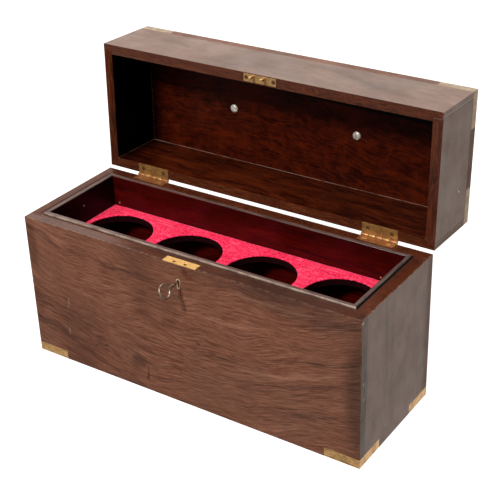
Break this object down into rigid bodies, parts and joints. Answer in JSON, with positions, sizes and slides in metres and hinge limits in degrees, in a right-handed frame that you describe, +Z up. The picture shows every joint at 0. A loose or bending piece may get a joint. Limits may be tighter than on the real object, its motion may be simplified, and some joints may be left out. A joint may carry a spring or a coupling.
{
  "type": "campaign bottle box",
  "caption": "Hinged hardwood travelling box with a velvet bottle rack, proud linings, brass corner straps, a box lock with its key and a bail handle on the lid.",
  "frame": {"origin": "centre of the underside of the base", "axes": "+X along the front to the right, the front faces -Y, +Z up; the lid stands open"},
  "size_m": [0.46, 0.303, 0.3539],
  "materials": {
    "rosewood": "waxed, figured grain",
    "mahogany": "french polished",
    "inner_wood": "plain",
    "velvet": "cut pile",
    "brass": "old polish",
    "steel": "worn",
    "nickel": "dull plated"
  },
  "bodies": {
    "base": {"base_strap_front_left": "brass", "base_strap_front_right": "brass", "base_strap_back_left": "brass", "base_strap_back_right": "brass", "base_strap_pins": "brass", "hinge_left_base_leaf": "brass", "hinge_left_pin": "brass", "hinge_right_base_leaf": "brass", "hinge_right_pin": "brass", "hinge_base_screws": "brass", "lock_selvedge_plate": "brass", "lock_plate_pins": "brass", "lock_case": "brass", "keyhole_thread": "brass", "lining_brads": "brass", "lock_drill_pin": "steel", "lock_lever_pivot": "steel", "base_front_board": "rosewood", "base_back_board": "rosewood", "base_left_board": "rosewood", "base_right_board": "rosewood", "lining_front": "mahogany", "lining_back": "mahogany", "lining_left": "mahogany", "lining_right": "mahogany", "base_bottom_board": "inner_wood", "rack_board": "inner_wood", "cell_partition_1": "inner_wood", "cell_partition_2": "inner_wood", "cell_partition_3": "inner_wood", "rack_batten_left": "inner_wood", "rack_batten_right": "inner_wood", "rack_velvet": "velvet"},
    "lid": {"lid_strap_front_left": "brass", "lid_strap_front_right": "brass", "lid_strap_back_left": "brass", "lid_strap_back_right": "brass", "lid_strap_pins": "brass", "hinge_left_lid_leaf": "brass", "hinge_right_lid_leaf": "brass", "hinge_lid_screws": "brass", "lid_link_plate": "brass", "link_plate_screws": "brass", "handle_rose_left": "brass", "handle_post_left": "brass", "handle_rose_right": "brass", "handle_post_right": "brass", "handle_screw_left": "nickel", "handle_screw_right": "nickel", "lid_front_board": "rosewood", "lid_back_board": "rosewood", "lid_left_board": "rosewood", "lid_right_board": "rosewood", "lid_top_board": "rosewood"},
    "handle": {"handle_bail": "brass"},
    "key": {"key": "steel"},
    "bolt": {"lock_bolt": "brass"},
    "lever": {"lock_lever": "brass", "lock_lever_spring": "steel"}
  },
  "joints": [
    {"name": "lid_hinge", "type": "hinge", "parent": "base", "child": "lid", "pos_m": [0, 0.0837, 0.1893], "axis": [1, 0, 0], "range_deg": [0, 92]},
    {"name": "handle_swing", "type": "hinge", "parent": "lid", "child": "handle", "pos_m": [0, 0.18236, 0.26961], "axis": [1, 0, 0], "range_deg": [-6, 182]},
    {"name": "key_turn", "type": "hinge", "parent": "base", "child": "key", "pos_m": [-0.0025, -0.08, 0.1662], "axis": [0, 1, 0], "range_deg": [0, 205.1]},
    {"name": "bolt_slide", "type": "slide", "parent": "base", "child": "bolt", "axis": [1, 0, 0], "range_m": [0, 0.005]},
    {"name": "lever_lift", "type": "hinge", "parent": "base", "child": "lever", "pos_m": [0.014, -0.076, 0.1732], "axis": [0, 1, 0], "range_deg": [0, 6.01]}
  ],
  "couplings": [
    {"joint": "key_turn", "follows": "bolt_slide", "rad_per_m": 715.58},
    {"joint": "lever_lift", "follows": "bolt_slide", "rad_per_m": 20.944}
  ]
}
